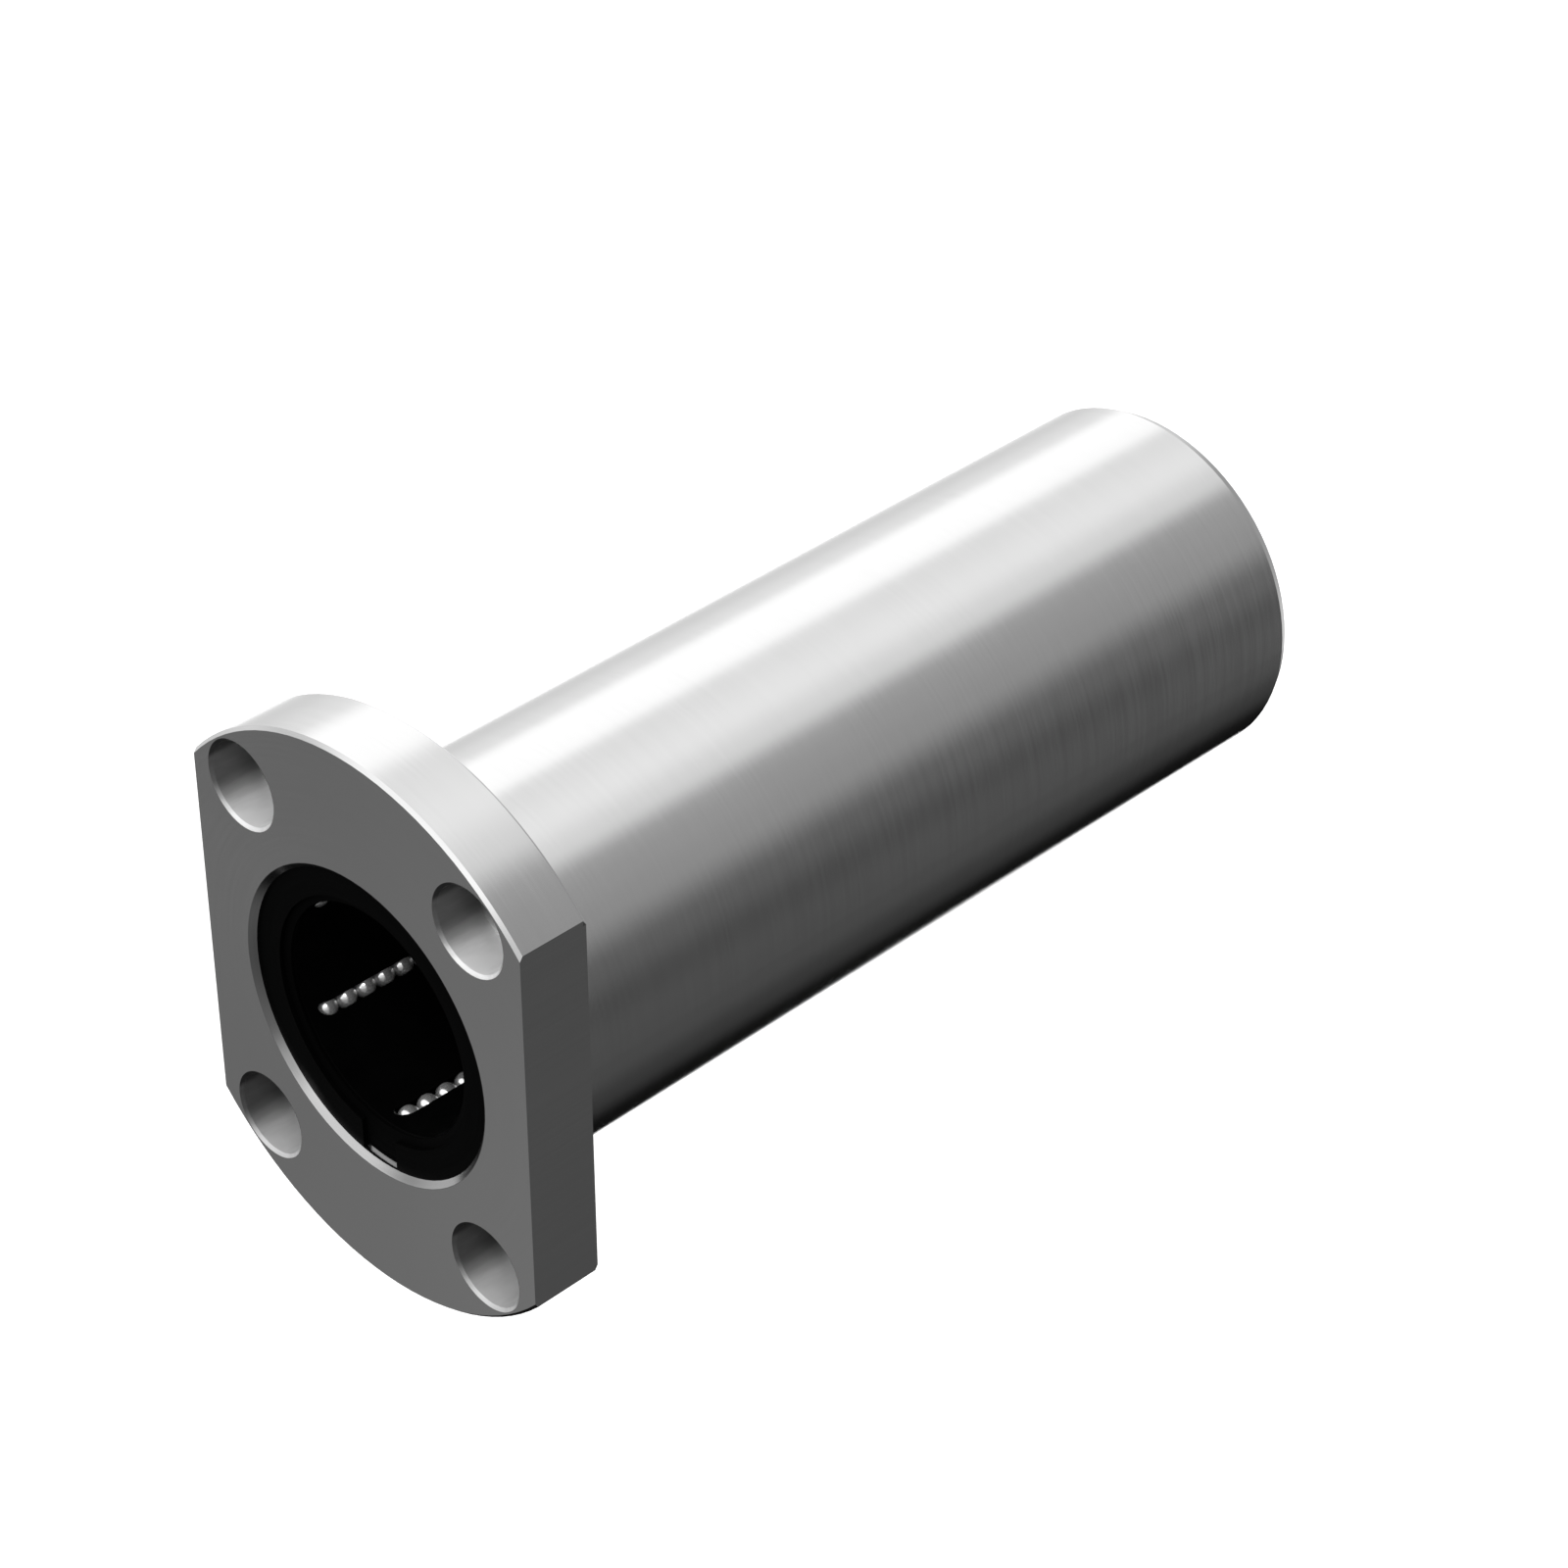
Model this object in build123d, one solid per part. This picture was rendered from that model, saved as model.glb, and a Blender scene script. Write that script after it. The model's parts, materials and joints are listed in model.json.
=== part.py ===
from build123d import *
import os
from math import acos, cos, floor, radians, sin, sqrt

# Flanged linear ball bearing, long type, for a 25 mm shaft. All sizes are in millimetres.
# Frame: origin on the bore axis in the flange's mounting face, +Y along the shaft into the body,
# +Z up. The flange's flats are vertical, at +X and -X.

# Nut, outside
shaft_d = 25.0
body_d = 40.0
overall_length = 112.0
flange_d = 62.0
across_flats = 46.0
flange_thickness = 8.0
rim_chamfer = 0.35
root_relief_width = 2.0
root_relief_depth = 0.25
root_relief_reach = 0.8
root_relief_face_depth = 0.15
nose_chamfer_length = 1.0
nose_chamfer_depth = 0.5

# Screw holes in the flange
hole_spacing_x = 32.0
hole_spacing_z = 40.0
hole_d = 5.5
counterbore_d = 9.0
counterbore_depth = 5.1
hole_mouth_chamfer = 0.3

# Balls and their circuits
ball_d = 2.381
ball_gap = 0.03
circuit_count = 6
first_circuit_angle = 30.0
return_row_r = 15.0
track_clearance = 0.05
raceway_clearance = 0.05
return_relief_clearance = 0.16
rest_phase = 0.9

# Retainer
retainer_bore_d = 25.4
retainer_gap = 0.13
retainer_end_wall = 0.25
retainer_collar = 0.5
retainer_edge_chamfer = 0.3
retainer_float = 0.05
retainer_collar_fit = 0.1

# End bores, seals and snap rings
end_bore_d = 33.0
mouth_chamfer = 0.6
ring_depth = 0.85
ring_thickness = 0.5
ring_inner_d = 26.8
ring_side_play = 0.05
ring_seat_play = 0.1
ring_split = 4.9
groove_depth = 0.35
seal_thickness = 0.5
seal_fit = 0.05
lip_root_d = 27.2
lip_tip_width = 0.2
lip_set_back = 0.15
raceway_lead_length = 0.4
raceway_lead_depth = 0.37

# How far a cutting solid stands past what it cuts
cutter_margin = 1.0

# Places along the shaft
front_y = -flange_thickness
rear_y = front_y + overall_length
middle_y = (front_y + rear_y) / 2
seal_front_y = front_y + ring_depth + ring_thickness
retainer_front_y = seal_front_y + seal_thickness
retainer_back_y = middle_y - retainer_float

# Rows and tracks
ball_r = ball_d / 2
ball_pitch = ball_d + ball_gap
load_row_r = shaft_d / 2 + ball_r
turn_r = ball_pitch / sqrt(2)
track_r = ball_r + track_clearance
track_start_y = retainer_front_y + retainer_end_wall + track_r + turn_r
track_room = retainer_back_y - retainer_end_wall - track_r - turn_r - track_start_y
row_count = floor(track_room / ball_pitch)
track_end_y = track_start_y + row_count * ball_pitch
turn_count = 2
turn_step = 180.0 / turn_count
raceway_r = load_row_r + ball_r + raceway_clearance
retainer_r = raceway_r - retainer_gap
end_bore_r = end_bore_d / 2
groove_r = end_bore_r + groove_depth

# The load row and the return row lie two turn radii apart
row_angle_cos = load_row_r**2 + return_row_r**2 - (2 * turn_r) ** 2
row_angle = acos(row_angle_cos / (2 * load_row_r * return_row_r))
lean_out = (return_row_r * cos(row_angle) - load_row_r) / (2 * turn_r)
lean_side = return_row_r * sin(row_angle) / (2 * turn_r)

circuit_angles = [first_circuit_angle + n * 360 / circuit_count for n in range(circuit_count)]
middle_plane = Plane(origin=(0, middle_y, 0), z_dir=(0, 1, 0))


def turned(points):
    """Solid turned about the shaft axis from (radius, y) points."""
    return revolve(make_face(Polyline(points, close=True)), Axis.Y)


def to_rear(front_solid):
    """The same solid at the other end of the bearing."""
    return mirror(front_solid, middle_plane)


def track_plane(angle):
    """Plane of one circuit: x along the shaft, y from the load row across to the return row."""
    out = Vector(cos(radians(angle)), 0, sin(radians(angle)))
    side = Vector(sin(radians(angle)), 0, -cos(radians(angle)))
    across = out * lean_out + side * lean_side
    along = Vector(0, 1, 0)
    return Plane(origin=out * load_row_r, x_dir=along, z_dir=along.cross(across))


def rod(start, end, offset, radius):
    """Round rod along a circuit's x, at an offset across it."""
    length = end - start
    return Pos((start + end) / 2, offset, 0) * Rot(0, 90, 0) * Cylinder(radius, length)


def half_ring(place, way):
    """Half of a ring round a turn's centre, from the load row to the return row."""
    section = Plane(origin=(place, 0, 0), z_dir=(1, 0, 0)) * Circle(track_r)
    return revolve(section, Axis((place, turn_r, 0), (0, 0, way)), 180)


def track_tunnel(angle):
    """Oval tunnel that one circuit of balls rolls in."""
    oval = rod(track_start_y, track_end_y, 0, track_r)
    oval += rod(track_start_y, track_end_y, 2 * turn_r, track_r)
    oval += half_ring(track_start_y, -1)
    oval += half_ring(track_end_y, 1)
    return track_plane(angle) * oval


def screw_hole():
    """Counterbored through hole, on the y axis."""
    mouth_r = counterbore_d / 2
    floor_y = front_y + counterbore_depth
    return turned([
        (0, front_y - cutter_margin),
        (mouth_r + hole_mouth_chamfer + cutter_margin, front_y - cutter_margin),
        (mouth_r, front_y + hole_mouth_chamfer),
        (mouth_r, floor_y),
        (hole_d / 2, floor_y),
        (hole_d / 2, cutter_margin),
        (0, cutter_margin),
    ])


def end_bore():
    """Front half of the stepped bore: mouth, ring groove, seal seat and raceway."""
    mouth_r = end_bore_r + mouth_chamfer
    groove_y = front_y + ring_depth
    groove_end_y = groove_y + ring_thickness + ring_side_play
    lead_r = raceway_r + raceway_lead_depth
    return turned([
        (0, front_y),
        (mouth_r, front_y),
        (end_bore_r, front_y + mouth_chamfer),
        (end_bore_r, groove_y),
        (groove_r, groove_y),
        (groove_r, groove_end_y),
        (end_bore_r, groove_end_y),
        (end_bore_r, track_start_y),
        (lead_r, track_start_y),
        (raceway_r, track_start_y + raceway_lead_length),
        (raceway_r, track_end_y - raceway_lead_length),
        (lead_r, track_end_y),
        (end_bore_r, track_end_y),
        (end_bore_r, middle_y),
        (0, middle_y),
    ])


def nut():
    """One-piece sleeve and flange, with its raceways, return reliefs, flats and holes."""
    flange_r = flange_d / 2
    body_r = body_d / 2
    root_r = body_r - root_relief_depth
    blank = turned([
        (0, front_y),
        (flange_r - rim_chamfer, front_y),
        (flange_r, front_y + rim_chamfer),
        (flange_r, -rim_chamfer),
        (flange_r - rim_chamfer, 0),
        (body_r + root_relief_reach, 0),
        (root_r, -root_relief_face_depth),
        (root_r, root_relief_width - root_relief_depth),
        (body_r, root_relief_width),
        (body_r, rear_y - nose_chamfer_length),
        (body_r - nose_chamfer_depth, rear_y),
        (0, rear_y),
    ])
    slab_length = overall_length + 2 * cutter_margin
    slab_height = flange_d + 2 * cutter_margin
    blank &= Pos(0, middle_y, 0) * Box(across_flats, slab_length, slab_height)
    front_bore = end_bore()
    sleeve = blank - front_bore - to_rear(front_bore)
    relief_r = ball_r + return_relief_clearance
    for angle in circuit_angles:
        relief = rod(track_start_y, 2 * middle_y - track_start_y, 2 * turn_r, relief_r)
        sleeve -= track_plane(angle) * relief
    for x in (-hole_spacing_x / 2, hole_spacing_x / 2):
        for z in (-hole_spacing_z / 2, hole_spacing_z / 2):
            sleeve -= Pos(x, 0, z) * screw_hole()
    return sleeve


def retainer():
    """Front resin tube with its end collar and its oval ball tracks."""
    bore_r = retainer_bore_d / 2
    collar_r = end_bore_r - retainer_collar_fit
    tube = turned([
        (bore_r + retainer_edge_chamfer, retainer_front_y),
        (collar_r, retainer_front_y),
        (collar_r, retainer_front_y + retainer_collar),
        (retainer_r, retainer_front_y + retainer_collar),
        (retainer_r, retainer_back_y - retainer_edge_chamfer),
        (retainer_r - retainer_edge_chamfer, retainer_back_y),
        (bore_r + retainer_edge_chamfer, retainer_back_y),
        (bore_r, retainer_back_y - retainer_edge_chamfer),
        (bore_r, retainer_front_y + retainer_edge_chamfer),
    ])
    for angle in circuit_angles:
        tube -= track_tunnel(angle)
    return tube


def seal():
    """Front rubber ring, thinned to a lip that meets the shaft."""
    seat_r = end_bore_r - seal_fit
    root_r = lip_root_d / 2
    tip_r = shaft_d / 2
    return turned([
        (tip_r, seal_front_y + lip_set_back),
        (root_r, seal_front_y),
        (seat_r, seal_front_y),
        (seat_r, retainer_front_y),
        (root_r, retainer_front_y),
        (tip_r, seal_front_y + lip_set_back + lip_tip_width),
    ])


def snap_ring():
    """Front C-shaped ring in its groove, split at the bottom."""
    inner_r = ring_inner_d / 2
    outer_r = groove_r - ring_seat_play
    ring = turned([
        (inner_r, front_y + ring_depth),
        (outer_r, front_y + ring_depth),
        (outer_r, front_y + ring_depth + ring_thickness),
        (inner_r, front_y + ring_depth + ring_thickness),
    ])
    split_length = ring_thickness + 2 * cutter_margin
    split_height = outer_r - inner_r + 2 * cutter_margin
    split = Box(ring_split, split_length, split_height)
    split_centre_r = (inner_r + outer_r) / 2
    return ring - Pos(0, front_y + ring_depth + ring_thickness / 2, -split_centre_r) * split


def ball(angle, along, across):
    """One ball at a place in the plane of its circuit."""
    return track_plane(angle) * Pos(along, across, 0) * Sphere(ball_r)


def row_of_balls(angle, offset, start, way):
    """Straight row that comes out of the turn at its start."""
    places = [start + way * (n + rest_phase) * ball_pitch for n in range(row_count)]
    return [ball(angle, place, offset) for place in places]


def turn_of_balls(angle, place, way):
    """Turn at one end of a track, from the row that runs into it to the row that leaves it."""
    balls = []
    for n in range(turn_count):
        swing = radians((n + rest_phase) * turn_step)
        along = place + way * turn_r * sin(swing)
        across = turn_r - way * turn_r * cos(swing)
        balls.append(ball(angle, along, across))
    return balls


def write(name, shape):
    """Save one node."""
    shape.label = name
    export_step(shape, os.path.join("parts", name + ".step"))


def write_circuit(number, angle):
    """Save the four ball groups of one circuit at the front and its mirror image at the rear."""
    groups = {
        "load_row": row_of_balls(angle, 0, track_start_y, 1),
        "return_row": row_of_balls(angle, 2 * turn_r, track_end_y, -1),
        "outer_turn": turn_of_balls(angle, track_start_y, -1),
        "inner_turn": turn_of_balls(angle, track_end_y, 1),
    }
    for group, balls in groups.items():
        front = Compound(balls)
        write(f"front_{number}_{group}", front)
        write(f"rear_{number}_{group}", to_rear(front))


os.makedirs("parts", exist_ok=True)
write("nut", nut())
front_pieces = {"retainer": retainer(), "seal": seal(), "snap_ring": snap_ring()}
for piece, solid in front_pieces.items():
    write("front_" + piece, solid)
    write("rear_" + piece, to_rear(solid))
for number, angle in enumerate(circuit_angles, start=1):
    write_circuit(number, angle)
print("balls in a row:", row_count, " circuits:", 2 * circuit_count)
print("track from", round(track_start_y, 3), "to", round(track_end_y, 3))
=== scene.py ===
"""Looks of a long flanged linear bearing: ground steel, black resin and rubber, polished balls."""

import json
from math import atan, cos, radians, sin, tan

import bmesh
import bpy
from mathutils import Matrix, Vector

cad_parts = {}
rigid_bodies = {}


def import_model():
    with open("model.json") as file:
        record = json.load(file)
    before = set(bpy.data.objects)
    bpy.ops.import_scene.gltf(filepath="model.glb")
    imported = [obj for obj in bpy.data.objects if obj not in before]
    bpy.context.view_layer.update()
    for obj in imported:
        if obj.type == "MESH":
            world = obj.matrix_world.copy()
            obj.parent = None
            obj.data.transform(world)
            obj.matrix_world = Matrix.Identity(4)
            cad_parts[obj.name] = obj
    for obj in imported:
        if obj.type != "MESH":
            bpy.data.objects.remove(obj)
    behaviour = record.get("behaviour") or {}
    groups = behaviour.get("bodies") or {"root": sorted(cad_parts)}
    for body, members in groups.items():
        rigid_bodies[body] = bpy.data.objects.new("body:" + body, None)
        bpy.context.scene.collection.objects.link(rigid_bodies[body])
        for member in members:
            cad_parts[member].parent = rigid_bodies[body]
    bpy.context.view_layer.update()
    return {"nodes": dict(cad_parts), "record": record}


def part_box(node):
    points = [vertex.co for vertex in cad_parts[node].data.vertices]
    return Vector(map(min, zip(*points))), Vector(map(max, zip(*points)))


MM = 0.001

# Camera, as in the photograph: it looks at the flange's front face from the right and above.
# HALF_VIEW is half the width that it sees at one metre.
CAMERA_EYE = Vector((252.94, -204.36, 252.73)) * MM
CAMERA_AZIMUTH = 45.065
CAMERA_ELEVATION = 35.257
CAMERA_ROLL = -0.056
CAMERA_LENS = 98.66
CAMERA_SENSOR = 36.0
HALF_VIEW = CAMERA_SENSOR / 2 / CAMERA_LENS

# Pale floor well below the bearing. Each fade says where the floor is whole and where it is gone, as a share
# of the way to that edge of the view.
FLOOR_DROP = 2.1
NEAR_FADE = (0.99, 0.95)
FAR_FADE = (1.03, 1.25)
LEFT_FADE = (1.05, 1.60)
RIGHT_FADE = (1.005, 1.035)
FLOOR_COLOUR = 0.90
FLOOR_GLOW = 0.42

# Studio walls round the shaft axis: angle from +X towards +Z, and how bright the wall is there. Each list
# goes once round from the dark angle. WALL_RANGE is the brightest that a wall can be.
DARK_ANGLE = -120.0
SIDE_WALLS = [
    (-120, 0.004), (-98, 0.006), (-74, 0.052), (-54, 0.088), (-30, 0.098), (-14, 0.086), (8, 0.140),
    (34, 0.360), (52, 0.400), (60, 0.440), (76, 0.920), (94, 1.120), (120, 1.020), (131, 1.420),
    (156, 1.440), (168, 1.000), (194, 0.780), (208, 0.900), (224, 0.050), (239, 0.004),
]
FRONT_WALLS = [
    (-120, 0.235), (-45, 0.130), (0, 0.220), (40, 0.750), (78, 1.350), (135, 1.300), (170, 0.480),
    (205, 0.130), (239, 0.235),
]
WALL_RANGE = 2.0

# Where the front walls and the rear end start and are whole, by how far a way points along the shaft axis,
# and how bright the end is in its ring and in its middle
FRONT_STARTS = -0.15
FRONT_FULL = -0.50
END_RING_LEVEL = 0.75
END_RING_STARTS = 0.70
END_RING_FULL = 0.84
END_MIDDLE_LEVEL = 0.40
END_MIDDLE_STARTS = 0.88
END_MIDDLE_FULL = 0.98

# Small round lamp above the camera, for the glints on the balls
LAMP_AIM = Vector((0.0, -4.0, 0.0)) * MM
LAMP_AZIMUTH = 45.0
LAMP_ELEVATION = 52.0
LAMP_DISTANCE = 0.70
LAMP_SIZE = 0.20
LAMP_POWER = 0.75

# Zones of the nut. The bore and the screw holes count with their mouths, and the rear edge is the bevel
# behind the flange's rim, which is painted dark as a line of shade. The frame gives the flats and the holes'
# places.
BORE_MOUTH_R = 17.15 * MM
SCREW_MOUTH_R = 4.84 * MM
REAR_EDGE_R = 30.62 * MM
REAR_EDGE_START = -0.37 * MM
REAR_EDGE_END = 0.02 * MM
FLAT_MARGIN = 0.10 * MM
FACE_NORMAL_Y = 0.9

# Painted light and painted shade on the walls of the screw holes: the angle that each lies at, and how far
# out from the hole's middle it grows. The walls of the upper holes are painted lighter and those of the
# lower ones darker.
PAINTED_LIGHT_WAY = 280.0
PAINTED_LIGHT_STARTS = 0.18 * SCREW_MOUTH_R
PAINTED_LIGHT_FULL = 0.98 * SCREW_MOUTH_R
PAINTED_SHADE_WAY = 138.0
PAINTED_SHADE_STARTS = 0.80 * SCREW_MOUTH_R
PAINTED_SHADE_FULL = 0.90 * SCREW_MOUTH_R
PAINTED_SHADE_LEVEL = 0.25
UPPER_HOLES_LEVEL = 1.10
LOWER_HOLES_LEVEL = 0.82


def clear_scene():
    """Remove what a new file holds."""
    for thing in list(bpy.data.objects):
        bpy.data.objects.remove(thing, do_unlink=True)


def grey(value):
    """Colour with the same red, green and blue."""
    return (value, value, value, 1.0)


class Tree:
    """Short calls that add and link the nodes of one tree."""

    def __init__(self, tree):
        self.tree = tree
        tree.nodes.clear()

    def add(self, kind, **settings):
        node = self.tree.nodes.new(kind)
        for name, value in settings.items():
            setattr(node, name, value)
        return node

    def feed(self, node, socket, value):
        """Link a value that comes out of another node, or set a plain one."""
        target = node.inputs[socket]
        if isinstance(value, bpy.types.NodeSocket):
            self.tree.links.new(value, target)
        else:
            target.default_value = value

    def math(self, operation, *values):
        node = self.add("ShaderNodeMath", operation=operation)
        for index, value in enumerate(values):
            self.feed(node, index, value)
        return node.outputs[0]

    def smooth_step(self, value, low, high):
        """0 at low, 1 at high, and a soft step between them."""
        node = self.add("ShaderNodeMapRange", interpolation_type="SMOOTHSTEP")
        for index, number in enumerate((value, low, high)):
            self.feed(node, index, number)
        return node.outputs["Result"]

    def mix(self, factor, first, second):
        """Number between first and second."""
        node = self.add("ShaderNodeMix", data_type="FLOAT")
        for socket, value in (("Factor", factor), ("A", first), ("B", second)):
            self.feed(node, socket, value)
        return node.outputs[0]

    def spread(self, value, low, high):
        """A pattern from 0 to 1, spread from low to high."""
        return self.math("MULTIPLY_ADD", value, high - low, low)

    def noise(self, vector, scale=1.0, detail=2.0, roughness=0.5):
        node = self.add("ShaderNodeTexNoise")
        self.feed(node, "Vector", vector)
        self.feed(node, "Scale", scale)
        self.feed(node, "Detail", detail)
        self.feed(node, "Roughness", roughness)
        return node.outputs["Fac"]

    def combine(self, x, y, z):
        node = self.add("ShaderNodeCombineXYZ")
        for index, value in enumerate((x, y, z)):
            self.feed(node, index, value)
        return node.outputs[0]

    def group(self, tree, **inputs):
        """Outputs of a node group, with its inputs fed by name."""
        node = self.add("ShaderNodeGroup", node_tree=tree)
        for name, value in inputs.items():
            self.feed(node, name.replace("_", " ").capitalize(), value)
        return node.outputs

    def object_place(self):
        """The place on the piece, as x, y and z in metres, and as a vector."""
        place = self.add("ShaderNodeTexCoord").outputs["Object"]
        node = self.add("ShaderNodeSeparateXYZ")
        self.feed(node, 0, place)
        return (*node.outputs, place)

    def radius(self, x, z):
        """Distance from a line along y."""
        squares = (self.math("MULTIPLY", x, x), self.math("MULTIPLY", z, z))
        return self.math("SQRT", self.math("ADD", *squares))

    def towards(self, x, z, angle):
        """How far a place lies towards an angle, which counts from +x to +z."""
        along_x = self.math("MULTIPLY", x, cos(radians(angle)))
        return self.math("MULTIPLY_ADD", z, sin(radians(angle)), along_x)

    def bump(self, height, distance):
        node = self.add("ShaderNodeBump")
        self.feed(node, "Height", height)
        self.feed(node, "Distance", distance)
        self.feed(node, "Strength", 1.0)
        return node.outputs[0]

    def finish_surface(self, **values):
        """Principled shader with plain values and linked ones, led to the output."""
        shader = self.add("ShaderNodeBsdfPrincipled")
        for name, value in values.items():
            self.feed(shader, name.replace("_", " "), value)
        output = self.add("ShaderNodeOutputMaterial")
        self.feed(output, "Surface", shader.outputs[0])


def new_group(name, inputs, outputs):
    """Node group with the named sockets, and its two end nodes."""
    tree = bpy.data.node_groups.new(name, "ShaderNodeTree")
    for label, kind in inputs.items():
        tree.interface.new_socket(label, in_out="INPUT", socket_type=kind)
    for label in outputs:
        tree.interface.new_socket(label, in_out="OUTPUT", socket_type="NodeSocketFloat")
    n = Tree(tree)
    return n, n.add("NodeGroupInput").outputs, n.add("NodeGroupOutput")


def tool_lines_group():
    """Fine lines left by a wheel or a tool: close together across, long the other way."""
    labels = ("Across", "Drift a", "Drift b", "Spacing", "Run")
    n, given, out = new_group("tool_lines", dict.fromkeys(labels, "NodeSocketFloat"), ["Lines"])
    across = n.math("DIVIDE", given["Across"], given["Spacing"])
    drift_a = n.math("DIVIDE", given["Drift a"], given["Run"])
    drift_b = n.math("DIVIDE", given["Drift b"], given["Run"])
    lines = n.noise(n.combine(across, drift_a, drift_b), detail=3.0, roughness=0.6)
    n.feed(out, "Lines", n.smooth_step(lines, 0.25, 0.75))
    return n.tree


def mottle_group():
    """Cloudy variation of a finish, and a grain twelve times as fine."""
    inputs = {"Place": "NodeSocketVector", "Size": "NodeSocketFloat"}
    n, given, out = new_group("mottle", inputs, ["Clouds", "Grain"])
    scale = n.math("DIVIDE", 1.0, given["Size"])
    fine_scale = n.math("MULTIPLY", scale, 12.0)
    n.feed(out, "Clouds", n.noise(given["Place"], scale, detail=3.0))
    n.feed(out, "Grain", n.noise(given["Place"], fine_scale, detail=2.0, roughness=0.7))
    return n.tree


def new_material(name):
    """Material with an empty tree."""
    material = bpy.data.materials.new(name)
    material.use_nodes = True
    return material, Tree(material.node_tree)


def nut_sizes(record):
    """Sizes of the nut that its finish follows, in metres."""
    screws = next(mount["dims"] for mount in record["mounts"] if mount["name"] == "flange_bolts")
    return {
        "flat_x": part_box("nut")[1].x,
        "screw_x": screws["spacing_x_mm"] / 2 * MM,
        "screw_z": screws["spacing_y_mm"] / 2 * MM,
    }


def bore_and_shaded_edge(n, y, r):
    """Where the nut is darker than its ground steel: its turned bore, and the edge behind the flange's rim,
    which is painted shade.
    """
    in_bore = n.math("LESS_THAN", r, BORE_MOUTH_R)
    behind_start = n.math("GREATER_THAN", y, REAR_EDGE_START)
    behind_end = n.math("LESS_THAN", y, REAR_EDGE_END)
    far_out = n.math("GREATER_THAN", r, REAR_EDGE_R)
    rear_edge = n.math("MULTIPLY", n.math("MULTIPLY", behind_start, behind_end), far_out)
    return n.math("MAXIMUM", rear_edge, in_bore)


def drilled_walls(n, tool_lines, x, y, z, sizes):
    """Walls of the screw holes: where they are, their level with painted light on one side and painted shade
    on another, and their roughness.
    """
    across_x = n.math("SUBTRACT", x, n.math("MULTIPLY", n.math("SIGN", x), sizes["screw_x"]))
    across_z = n.math("SUBTRACT", z, n.math("MULTIPLY", n.math("SIGN", z), sizes["screw_z"]))
    in_hole = n.math("LESS_THAN", n.radius(across_x, across_z), SCREW_MOUTH_R)
    # Painted light on the walls towards the lower side of each hole, and painted shade near their upper left
    painted_light = n.smooth_step(n.towards(across_x, across_z, PAINTED_LIGHT_WAY), PAINTED_LIGHT_STARTS, PAINTED_LIGHT_FULL)
    painted_shade = n.smooth_step(n.towards(across_x, across_z, PAINTED_SHADE_WAY), PAINTED_SHADE_STARTS, PAINTED_SHADE_FULL)
    streaks = n.group(
        tool_lines, across=across_z, drift_a=across_x, drift_b=y, spacing=1.0 * MM, run=9.0 * MM
    )["Lines"]
    level = n.math("MULTIPLY", n.spread(painted_light, 0.16, 1.02), n.spread(streaks, 0.76, 1.0))
    # Painted light and shade: the walls of the upper holes lighter, those of the lower holes darker
    upper_holes_lighter = n.mix(n.math("GREATER_THAN", z, 0.0), LOWER_HOLES_LEVEL, UPPER_HOLES_LEVEL)
    level = n.math("MULTIPLY", n.math("MULTIPLY", level, upper_holes_lighter), n.spread(painted_shade, 1.0, PAINTED_SHADE_LEVEL))
    return in_hole, level, n.spread(streaks, 0.42, 0.50)


def ground_steel(tool_lines, mottle, sizes):
    """Ground bearing steel, darker in its turned bore, with painted shade on the rear edge and half-matt
    screw holes with painted light and shade.
    """
    material, n = new_material("ground_steel")
    x, y, z, place = n.object_place()
    r = n.radius(x, z)
    facing = n.add("ShaderNodeSeparateXYZ")
    n.feed(facing, 0, n.add("ShaderNodeTexCoord").outputs["Normal"])
    on_face = n.math("GREATER_THAN", n.math("ABSOLUTE", facing.outputs["Y"]), FACE_NORMAL_Y)
    on_flat = n.math("GREATER_THAN", n.math("ABSOLUTE", x), sizes["flat_x"] - FLAT_MARGIN)
    turned_and_shaded = bore_and_shaded_edge(n, y, r)
    in_hole, hole_level, hole_rough = drilled_walls(n, tool_lines, x, y, z, sizes)

    across = n.mix(on_flat, n.mix(on_face, y, r), z)
    lines = n.group(tool_lines, across=across, drift_a=x, drift_b=z, spacing=0.35 * MM, run=14 * MM)["Lines"]
    clouds = n.group(mottle, place=place, size=9 * MM)["Clouds"]
    ground = n.math("ADD", n.spread(lines, 0.69, 0.71), n.spread(clouds, -0.012, 0.012))
    # Darker level for the turned bore, and painted shade on the rear edge behind the flange's rim
    outside = n.mix(turned_and_shaded, ground, n.spread(lines, 0.43, 0.47))
    level = n.mix(in_hole, outside, hole_level)
    rough = n.math("ADD", n.spread(lines, 0.15, 0.19), n.spread(clouds, -0.02, 0.02))
    n.finish_surface(
        Base_Color=n.combine(level, level, level),
        Roughness=n.mix(in_hole, rough, hole_rough),
        Metallic=n.mix(in_hole, 1.0, 0.35),
        Anisotropic=0.6,
        Anisotropic_Rotation=0.25,
        Tangent=n.add("ShaderNodeTangent", direction_type="RADIAL", axis="Y").outputs[0],
        Normal=n.bump(lines, 0.0006 * MM),
    )
    return material


def black_resin(tool_lines, mottle):
    """Moulded resin of the retainers, with faint draw lines along the bore."""
    material, n = new_material("black_resin")
    x, y, z, place = n.object_place()
    patterns = n.group(mottle, place=place, size=3 * MM)
    draw = n.group(tool_lines, across=x, drift_a=y, drift_b=z, spacing=0.5 * MM, run=20 * MM)["Lines"]
    level = n.spread(patterns["Clouds"], 0.0008, 0.0024)
    n.finish_surface(
        Base_Color=n.combine(level, level, level),
        Roughness=n.math("ADD", n.spread(draw, 0.34, 0.42), n.spread(patterns["Grain"], -0.03, 0.03)),
        Specular_IOR_Level=0.02,
        Normal=n.bump(patterns["Grain"], 0.003 * MM),
    )
    return material


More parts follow.
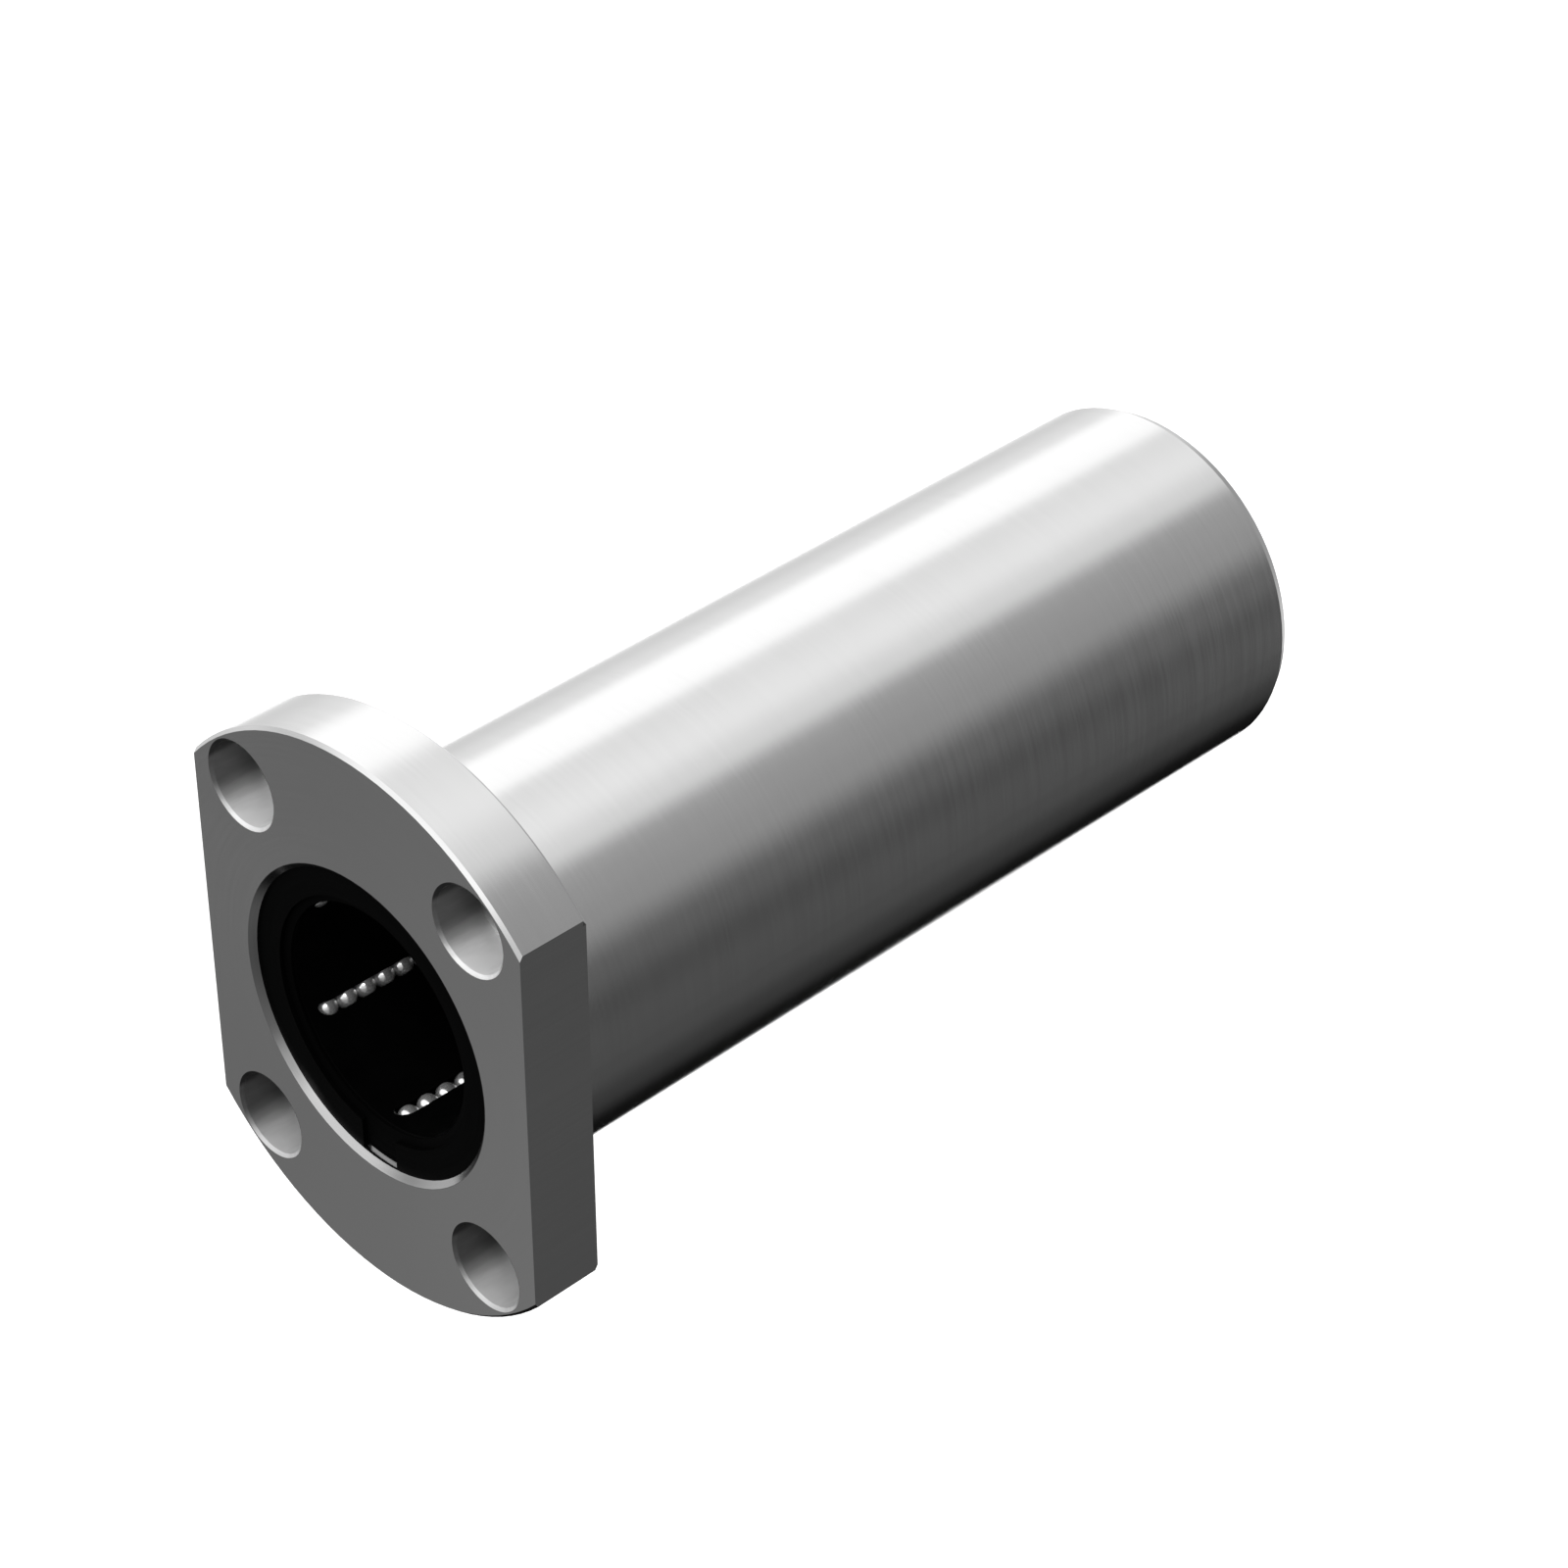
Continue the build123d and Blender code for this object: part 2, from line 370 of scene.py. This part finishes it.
def black_rubber(tool_lines, mottle):
    """Rubber of the seals, with the fine rings of a turned mould."""
    material, n = new_material("black_rubber")
    x, _, z, place = n.object_place()
    r = n.radius(x, z)
    rings = n.group(tool_lines, across=r, drift_a=x, drift_b=z, spacing=0.25 * MM, run=30 * MM)["Lines"]
    grain = n.group(mottle, place=place, size=2 * MM)["Grain"]
    level = n.spread(grain, 0.0006, 0.0022)
    n.finish_surface(
        Base_Color=n.combine(level, level, level),
        Roughness=n.spread(rings, 0.50, 0.62),
        Specular_IOR_Level=0.02,
        Normal=n.bump(n.math("ADD", rings, grain), 0.003 * MM),
    )
    return material


def black_oxide(tool_lines, mottle):
    """Blackened spring steel of the snap rings."""
    material, n = new_material("black_oxide")
    x, _, z, place = n.object_place()
    r = n.radius(x, z)
    rolled = n.group(tool_lines, across=r, drift_a=x, drift_b=z, spacing=0.3 * MM, run=8 * MM)["Lines"]
    clouds = n.group(mottle, place=place, size=2.5 * MM)["Clouds"]
    level = n.math("ADD", n.spread(rolled, 0.0006, 0.0014), n.spread(clouds, 0.0, 0.0008))
    n.finish_surface(
        Base_Color=n.combine(level, level, level),
        Roughness=n.spread(clouds, 0.36, 0.48),
        Specular_IOR_Level=0.02,
        Normal=n.bump(rolled, 0.002 * MM),
    )
    return material


def polished_balls(mottle):
    """Lapped bearing balls."""
    material, n = new_material("polished_balls")
    place = n.object_place()[-1]
    clouds = n.group(mottle, place=place, size=0.8 * MM)["Clouds"]
    level = n.spread(clouds, 0.88, 0.94)
    n.finish_surface(
        Base_Color=n.combine(level, level, level),
        Roughness=n.spread(clouds, 0.15, 0.21),
        Metallic=0.75,
    )
    return material


def dress(nodes, sizes):
    """Give every piece of the bearing its finish, by the last word of its name."""
    tool_lines = tool_lines_group()
    mottle = mottle_group()
    finishes = {
        "nut": ground_steel(tool_lines, mottle, sizes),
        "retainer": black_resin(tool_lines, mottle),
        "seal": black_rubber(tool_lines, mottle),
        "ring": black_oxide(tool_lines, mottle),
    }
    balls = polished_balls(mottle)
    for name, node in nodes.items():
        finish = finishes.get(name.split("_")[-1], balls)
        for slot in node.material_slots:
            slot.material = finish


def wall_ramp(n, turns, bands):
    """Brightness of the walls by how far round they are, as a share of the range."""
    node = n.add("ShaderNodeValToRGB")
    node.color_ramp.interpolation = "EASE"
    elements = node.color_ramp.elements
    elements.remove(elements[-1])
    for index, (angle, level) in enumerate(bands):
        place = (angle - DARK_ANGLE) / 360
        stop = elements.new(place) if index else elements[0]
        stop.position = place
        stop.color = grey(level / WALL_RANGE)
    n.feed(node, "Fac", turns)
    return node.outputs["Color"]


def studio_world():
    """Studio walls as bands along the shaft axis, with a front of their own and a plain end."""
    world = bpy.data.worlds.new("studio")
    world.use_nodes = True
    n = Tree(world.node_tree)
    axes = n.add("ShaderNodeSeparateXYZ")
    n.feed(axes, 0, n.add("ShaderNodeTexCoord").outputs["Generated"])
    x, y, z = axes.outputs
    angle = n.math("SUBTRACT", n.math("ARCTAN2", z, x), radians(DARK_ANGLE))
    turns = n.math("FRACT", n.math("DIVIDE", angle, radians(360)))
    middle = n.smooth_step(y, END_MIDDLE_STARTS, END_MIDDLE_FULL)
    end = n.mix(middle, END_RING_LEVEL / WALL_RANGE, END_MIDDLE_LEVEL / WALL_RANGE)
    level = n.mix(n.smooth_step(y, END_RING_STARTS, END_RING_FULL), wall_ramp(n, turns, SIDE_WALLS), end)
    level = n.mix(n.smooth_step(y, FRONT_STARTS, FRONT_FULL), level, wall_ramp(n, turns, FRONT_WALLS))
    background = n.add("ShaderNodeBackground")
    n.feed(background, "Color", n.combine(level, level, level))
    n.feed(background, "Strength", WALL_RANGE)
    n.feed(n.add("ShaderNodeOutputWorld"), "Surface", background.outputs[0])
    bpy.context.scene.world = world


def way_back(azimuth, elevation):
    """Way from the bearing to what looks at it or lights it. Azimuth 0 is straight in front."""
    azimuth = radians(azimuth)
    elevation = radians(elevation)
    return Vector((sin(azimuth) * cos(elevation), -cos(azimuth) * cos(elevation), sin(elevation)))


def place_camera():
    """Camera at the photograph's place and angle."""
    data = bpy.data.cameras.new("camera")
    data.lens = CAMERA_LENS
    data.sensor_width = CAMERA_SENSOR
    data.clip_start = 0.01
    data.clip_end = 100.0
    camera = bpy.data.objects.new("camera", data)
    back = way_back(CAMERA_AZIMUTH, CAMERA_ELEVATION)
    right = Vector((cos(radians(CAMERA_AZIMUTH)), sin(radians(CAMERA_AZIMUTH)), 0.0))
    turn = Matrix((right, back.cross(right), back)).transposed().to_4x4()
    roll = Matrix.Rotation(radians(CAMERA_ROLL), 4, "Z")
    camera.matrix_world = Matrix.Translation(CAMERA_EYE) @ turn @ roll
    bpy.context.scene.collection.objects.link(camera)
    bpy.context.scene.camera = camera


def seen_floor(edge):
    """How far ahead of the camera the floor meets the lower (-1) or upper (1) edge of the view."""
    slant = radians(CAMERA_ELEVATION) - edge * atan(HALF_VIEW)
    return (CAMERA_EYE.z + FLOOR_DROP) / tan(slant)


def pale_paper(near, far):
    """White paper that fades out just past the floor that the camera sees."""
    material, n = new_material("pale_paper")
    aside, ahead = n.object_place()[:2]
    elevation = radians(CAMERA_ELEVATION)
    eye_height = CAMERA_EYE.z + FLOOR_DROP
    depth = n.math("MULTIPLY_ADD", ahead, cos(elevation), eye_height * sin(elevation))
    to_right = n.math("DIVIDE", aside, n.math("MULTIPLY", depth, HALF_VIEW))
    to_left = n.math("MULTIPLY", to_right, -1.0)
    shown = 1.0
    for place, edge, (whole, gone) in (
        (to_left, 1.0, LEFT_FADE),
        (to_right, 1.0, RIGHT_FADE),
        (ahead, near, NEAR_FADE),
        (ahead, far, FAR_FADE),
    ):
        shown = n.math("MULTIPLY", n.smooth_step(place, gone * edge, whole * edge), shown)
    path = n.add("ShaderNodeLightPath").outputs
    mirrored = n.math("MAXIMUM", path["Is Glossy Ray"], path["Is Transmission Ray"])
    looked_at = n.math("MAXIMUM", path["Is Camera Ray"], mirrored)
    n.finish_surface(
        Base_Color=grey(FLOOR_COLOUR),
        Roughness=0.9,
        Specular_IOR_Level=0.1,
        Emission_Color=grey(1.0),
        Emission_Strength=n.math("MULTIPLY", looked_at, FLOOR_GLOW),
        Alpha=shown,
    )
    return material


def pale_floor():
    """Plain pale floor, laid out from the point under the camera: x to its right, y ahead of it."""
    near = seen_floor(-1)
    far = seen_floor(1)
    start = near * NEAR_FADE[1]
    length = far * FAR_FADE[1] - start
    bm = bmesh.new()
    bmesh.ops.create_grid(bm, x_segments=1, y_segments=1, size=length / 2)
    bmesh.ops.translate(bm, verts=bm.verts, vec=(0.0, start + length / 2, 0.0))
    mesh = bpy.data.meshes.new("floor")
    bm.to_mesh(mesh)
    bm.free()
    mesh.materials.append(pale_paper(near, far))
    floor = bpy.data.objects.new("floor", mesh)
    foot = Vector((CAMERA_EYE.x, CAMERA_EYE.y, -FLOOR_DROP))
    floor.matrix_world = Matrix.Translation(foot) @ Matrix.Rotation(radians(CAMERA_AZIMUTH), 4, "Z")
    bpy.context.scene.collection.objects.link(floor)


def glint_lamp():
    """Round lamp near the camera's line of sight, whose light reaches into the bore."""
    way = way_back(LAMP_AZIMUTH, LAMP_ELEVATION)
    data = bpy.data.lights.new("glint_lamp", "AREA")
    data.shape = "DISK"
    data.size = LAMP_SIZE
    data.energy = LAMP_POWER
    lamp = bpy.data.objects.new("glint_lamp", data)
    turn = way.to_track_quat("Z", "Y").to_matrix().to_4x4()
    lamp.matrix_world = Matrix.Translation(LAMP_AIM + way * LAMP_DISTANCE) @ turn
    bpy.context.scene.collection.objects.link(lamp)


clear_scene()
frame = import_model()
dress(frame["nodes"], nut_sizes(frame["record"]))
studio_world()
place_camera()
pale_floor()
glint_lamp()
bpy.context.scene.view_settings.view_transform = "Standard"
